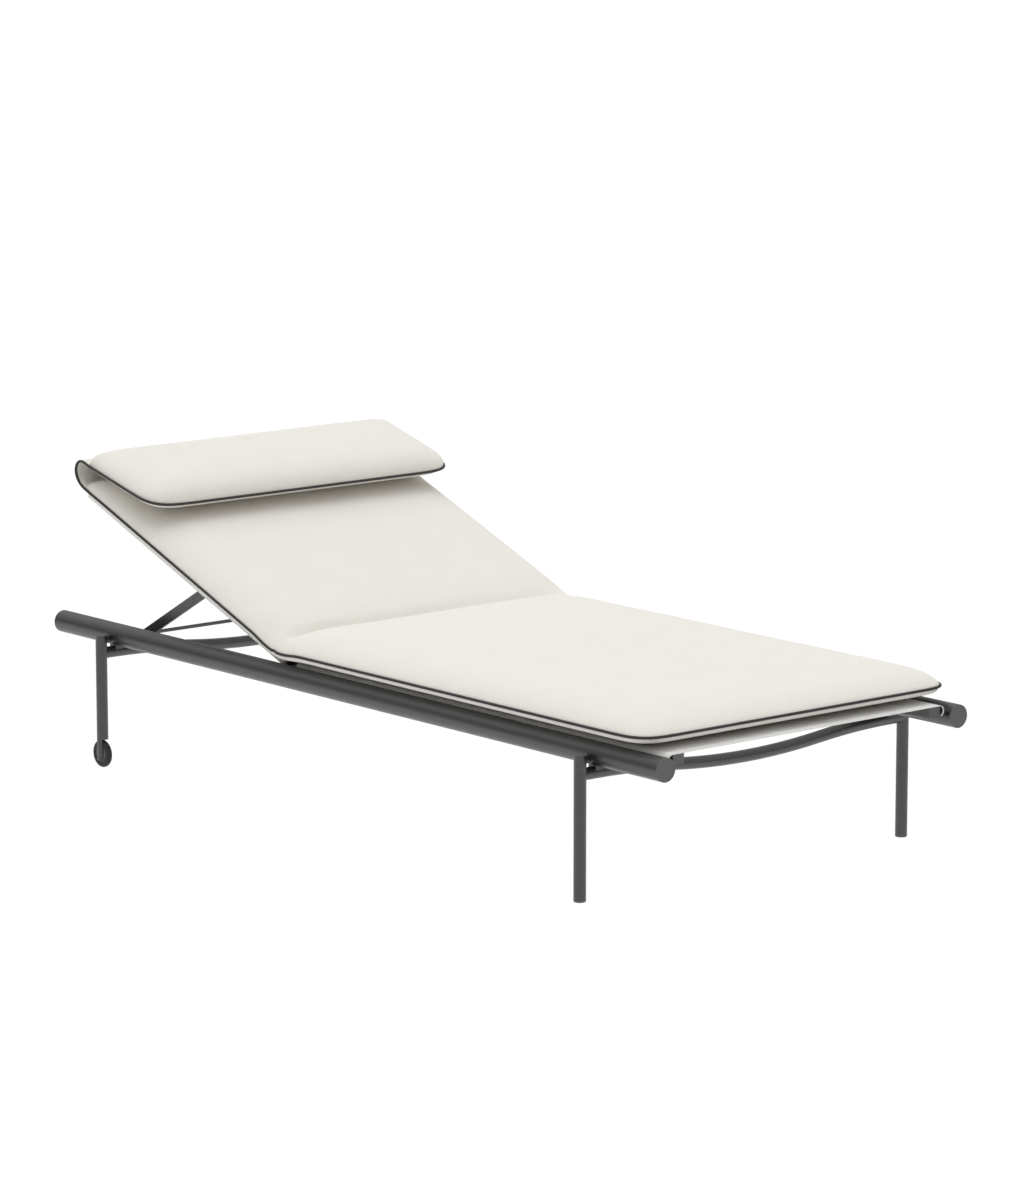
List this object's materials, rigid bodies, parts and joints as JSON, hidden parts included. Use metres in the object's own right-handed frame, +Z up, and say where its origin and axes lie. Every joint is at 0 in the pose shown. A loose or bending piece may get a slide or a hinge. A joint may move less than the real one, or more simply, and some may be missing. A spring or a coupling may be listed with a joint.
{
  "type": "reclining sun lounger",
  "caption": "Low tubular sun lounger with a sling bed, an adjustable back on a hinged prop, wheels at the head end, and a piped mattress with a fold-over head pillow",
  "frame": {"origin": "on the ground, at the centre of the lounger's outline seen from above", "axes": "+Z up, +Y from the foot end to the head end, +X to the right seen from the foot end"},
  "size_m": [0.894, 2, 0.6801],
  "materials": {
    "frame_metal": "satin charcoal powder coat on aluminium tube",
    "cap_plastic": "dark grey moulded plastic, matte",
    "hinge_metal": "black powder coat",
    "pin_steel": "blackened stainless steel",
    "hub_plastic": "grey moulded plastic",
    "tyre_rubber": "dark rubber tread",
    "pad_rubber": "black rubber",
    "sling_cloth": "white woven mesh sling",
    "mattress_cloth": "warm off-white woven outdoor cloth with charcoal piping"
  },
  "bodies": {
    "frame": {"side_rail_left": "frame_metal", "side_rail_right": "frame_metal", "rail_cap_foot_left": "cap_plastic", "rail_cap_foot_right": "cap_plastic", "rail_cap_head_left": "cap_plastic", "rail_cap_head_right": "cap_plastic", "leg_foot_left": "frame_metal", "leg_foot_right": "frame_metal", "leg_head_left": "frame_metal", "leg_head_right": "frame_metal", "foot_glide_left": "cap_plastic", "foot_glide_right": "cap_plastic", "wheel_fork_left": "frame_metal", "wheel_fork_right": "frame_metal", "wheel_axle_left": "pin_steel", "wheel_axle_right": "pin_steel", "seat_bar_left": "frame_metal", "seat_bar_right": "frame_metal", "seat_bar_cap_left": "cap_plastic", "seat_bar_cap_right": "cap_plastic", "seat_hinge_left": "hinge_metal", "seat_hinge_right": "hinge_metal", "hinge_pin_left": "pin_steel", "hinge_pin_right": "pin_steel", "prop_rack_left": "frame_metal", "prop_rack_right": "frame_metal", "crossbar_foot": "frame_metal", "crossbar_head": "frame_metal", "rail_saddles": "frame_metal", "leg_standoffs": "frame_metal", "leg_caps": "cap_plastic", "seat_hangers": "frame_metal", "hanger_screws": "pin_steel", "seat_sling": "sling_cloth", "rest_pads": "pad_rubber", "rest_brackets": "frame_metal", "seat_cushion": "mattress_cloth"},
    "backrest": {"back_bar_left": "frame_metal", "back_bar_right": "frame_metal", "back_bar_cap_left": "cap_plastic", "back_bar_cap_right": "cap_plastic", "back_hinge_left": "hinge_metal", "back_hinge_right": "hinge_metal", "prop_pin_left": "pin_steel", "prop_pin_right": "pin_steel", "back_sling": "sling_cloth", "back_cross_lower": "frame_metal", "back_cross_upper": "frame_metal", "back_cushion": "mattress_cloth", "head_pillow": "mattress_cloth", "pillow_fold": "mattress_cloth"},
    "prop": {"prop_strut_left": "frame_metal", "prop_strut_right": "frame_metal", "prop_rod": "frame_metal"},
    "wheel_left": {"wheel_hub_left": "hub_plastic", "wheel_tyre_left": "tyre_rubber"},
    "wheel_right": {"wheel_hub_right": "hub_plastic", "wheel_tyre_right": "tyre_rubber"}
  },
  "joints": [
    {"name": "back_recline", "type": "hinge", "parent": "frame", "child": "backrest", "pos_m": [0, 0.21, 0.3015], "axis": [1, 0, 0], "range_deg": [-21, 24]},
    {"name": "prop_swing", "type": "hinge", "parent": "backrest", "child": "prop", "pos_m": [0, 0.53654, 0.4247], "axis": [1, 0, 0], "range_deg": [-54, 47.5]},
    {"name": "wheel_left_spin", "type": "hinge", "parent": "frame", "child": "wheel_left", "pos_m": [-0.4345, 0.797, 0.03], "axis": [1, 0, 0], "continuous": true},
    {"name": "wheel_right_spin", "type": "hinge", "parent": "frame", "child": "wheel_right", "pos_m": [0.4345, 0.797, 0.03], "axis": [1, 0, 0], "continuous": true}
  ],
  "couplings": [
    {"joint": "prop_swing", "follows": "back_recline", "ratio": -2.24}
  ]
}
